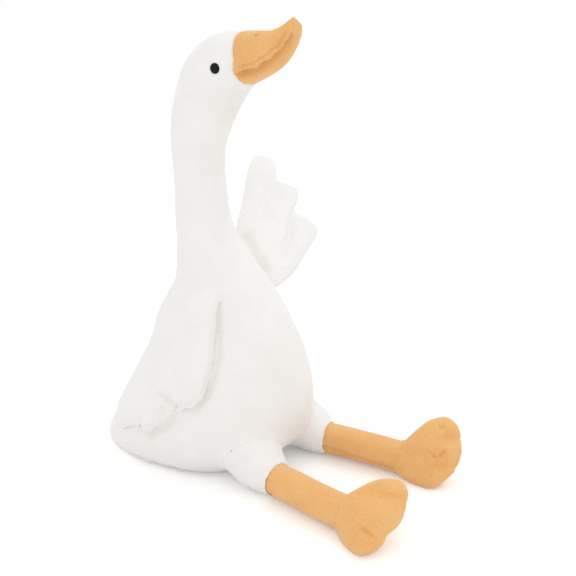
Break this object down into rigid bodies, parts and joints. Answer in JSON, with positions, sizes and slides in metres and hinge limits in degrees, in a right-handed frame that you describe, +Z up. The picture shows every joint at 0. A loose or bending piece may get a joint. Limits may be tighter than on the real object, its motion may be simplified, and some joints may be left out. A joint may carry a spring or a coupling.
{
  "type": "plush goose",
  "caption": "Long-necked stuffed goose sitting upright, with a stuffed beak, button eyes, lobed wings and soft tube legs with webbed feet.",
  "frame": {"origin": "middle of the flat seat, on the surface the goose sits on", "axes": "+Z up through the head, -Y the way the goose faces, +X its own left side, with the raised wing"},
  "size_m": [0.2902, 0.3893, 0.4524],
  "materials": {
    "white_plush": "short-pile white plush over soft fibre stuffing",
    "orange_plush": "short-pile orange plush over soft fibre stuffing",
    "eye": "polished black moulded button"
  },
  "bodies": {
    "root": {"body": "white_plush", "wing_right": "white_plush", "wing_left": "white_plush", "thigh_right": "white_plush", "thigh_left": "white_plush", "shank_right": "orange_plush", "shank_left": "orange_plush", "foot_right": "orange_plush", "foot_left": "orange_plush", "beak_upper": "orange_plush", "beak_lower": "orange_plush", "eye_right": "eye", "eye_left": "eye"}
  },
  "joints": []
}
